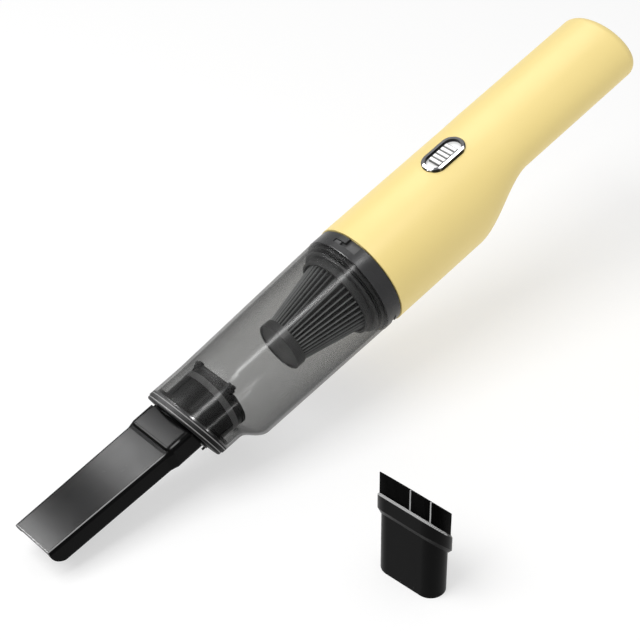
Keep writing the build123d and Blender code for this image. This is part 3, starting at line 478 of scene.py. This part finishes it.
# World: soft light all round, white where it is seen or mirrored
WORLD_LIGHT = 0.68
world = bpy.data.worlds.new("studio")
bpy.context.scene.world = world
world.use_nodes = True
world.node_tree.nodes.clear()
path = add(world, "ShaderNodeLightPath")
seen = math_node(world, "MAXIMUM", path.outputs["Is Camera Ray"], path.outputs["Is Transmission Ray"])
shown = math_node(world, "MAXIMUM", seen, path.outputs["Is Glossy Ray"])
sky = add(world, "ShaderNodeBackground")
join(world, slope(world, shown, 0.0, 1.0, WORLD_LIGHT, 1.0), sky.inputs["Strength"])
surface(world, sky.outputs["Background"], "ShaderNodeOutputWorld")


def lamp(name, direction, distance, size, power, aim, along=None, gloss_only=False):
    """Area lamp that looks at a point from a direction; along sets its long side."""
    data = bpy.data.lights.new(name, "AREA")
    data.shape = "RECTANGLE"
    data.size, data.size_y = size
    data.energy = power
    obj = bpy.data.objects.new(name, data)
    bpy.context.scene.collection.objects.link(obj)
    away = Vector(direction).normalized()
    side = along if along is not None else away.cross(UPRIGHT)
    side = (side - away * side.dot(away)).normalized()
    up = away.cross(side)
    turn = Matrix((side, up, away)).transposed().to_4x4()
    obj.matrix_world = Matrix.Translation(aim + away * distance) @ turn
    obj.visible_camera = False
    obj.visible_diffuse = not gloss_only


def round_the_axis(degrees):
    """Direction square to the tool's axis, by its angle from the top towards the camera's side."""
    turn = math.radians(degrees)
    return turned(0, -math.sin(turn), math.cos(turn))


# Camera, at the photograph's viewing angle and slight roll
VIEW_AZIMUTH = math.radians(-42.0)
VIEW_ELEVATION = math.radians(38.5)
VIEW_ROLL = math.radians(-0.8043)
LEVEL = Vector((math.cos(VIEW_AZIMUTH), math.sin(VIEW_AZIMUTH), 0.0))
AHEAD = Vector((
    -math.sin(VIEW_AZIMUTH) * math.cos(VIEW_ELEVATION),
    math.cos(VIEW_AZIMUTH) * math.cos(VIEW_ELEVATION),
    -math.sin(VIEW_ELEVATION),
))
RIGHT = LEVEL * math.cos(VIEW_ROLL) + LEVEL.cross(AHEAD) * math.sin(VIEW_ROLL)
UP = RIGHT.cross(AHEAD)
COLLAR_RIGHT, COLLAR_UP, COLLAR_AHEAD = 0.015182, 0.018405, 1.003103  # the collar from the camera
EYE = COLLAR - COLLAR_RIGHT * RIGHT - COLLAR_UP * UP - COLLAR_AHEAD * AHEAD
camera_data = bpy.data.cameras.new("camera")
camera_data.lens = 101.22
camera_data.sensor_width = 36.0
camera_data.clip_end = 30.0
camera = bpy.data.objects.new("camera", camera_data)
bpy.context.scene.collection.objects.link(camera)
camera.matrix_world = Matrix.Translation(EYE) @ Matrix((RIGHT, UP, -AHEAD)).transposed().to_4x4()
bpy.context.scene.camera = camera


def mirrored(point):
    """Where the camera looks on to when a face square to the switch's side mirrors it at a point."""
    sight = (point - EYE).normalized()
    return sight - SWITCH_SIDE * (2 * sight.dot(SWITCH_SIDE))


# The key lamp lights the object; the others add gloss only, each at the part of the tool that mirrors it
STREAK_DISTANCE = 0.7
BOX_DISTANCE = 0.16
BOX_SIZE = (0.10, 0.03)
lamp("key", (-0.48, 0.10, 0.86), 1.6, (1.0, 1.0), 17.0, held(-0.04, 0, 0))
for name, angle, place, size, power in (
        ("streak", 17.0, 0.145, (0.27, 0.055), 2.8),
        ("short_streak", 62.0, 0.060, (0.085, 0.03), 0.30),
        ("barrel_sheen", -30.0, 0.500, (0.42, 0.60), 4.5)):
    lamp(name, round_the_axis(angle), STREAK_DISTANCE, size, power, held(place, 0, 0), AXIS, gloss_only=True)
for name, point, power in (
        ("root_box", held(-0.154, 0, 0.0148), 0.72),
        ("tip_box", held(-0.226, 0, 0.0165), 1.05)):
    lamp(name, mirrored(point), BOX_DISTANCE, BOX_SIZE, power, point, SIDEWAYS, gloss_only=True)

bpy.context.scene.view_settings.view_transform = "Standard"
